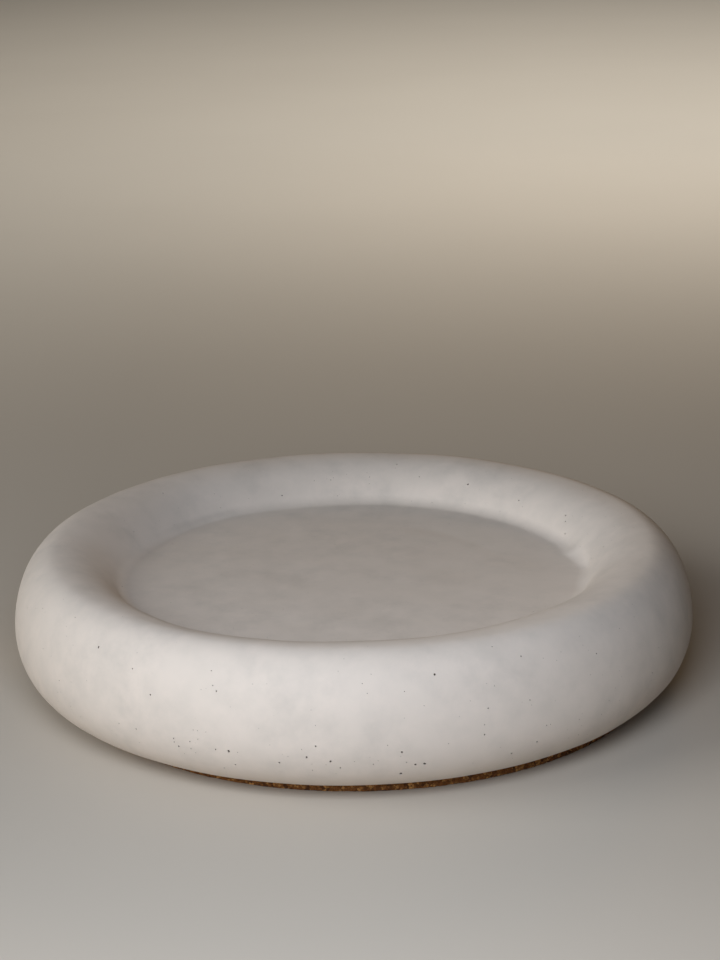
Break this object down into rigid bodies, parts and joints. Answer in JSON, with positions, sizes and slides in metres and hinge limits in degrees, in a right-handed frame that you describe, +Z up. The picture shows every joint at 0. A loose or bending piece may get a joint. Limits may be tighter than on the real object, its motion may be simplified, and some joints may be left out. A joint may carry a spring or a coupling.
{
  "type": "plaster mould",
  "caption": "Round one-piece plaster mould with a fat rounded rim round a shallow flat recess, glued to a thin cork base that it rests on.",
  "frame": {"origin": "on the cast body's axis, at the underside of the cork, where it rests on a surface", "axes": "+Z up along the cast body's axis of revolution; +X is the way the cork is off centre, by 2 mm; +Y is away from the viewer in the picture"},
  "size_m": [0.2, 0.2, 0.0416],
  "materials": {
    "plaster": "cast gypsum plaster, rubbed smooth, matt, warm off-white with small pinholes and faint mottling",
    "adhesive": "dried contact adhesive, translucent amber film",
    "cork": "agglomerated cork sheet, cut edge, brown granules"
  },
  "bodies": {
    "root": {"mould_body": "plaster", "glue_layer": "adhesive", "cork_base": "cork"}
  },
  "joints": []
}
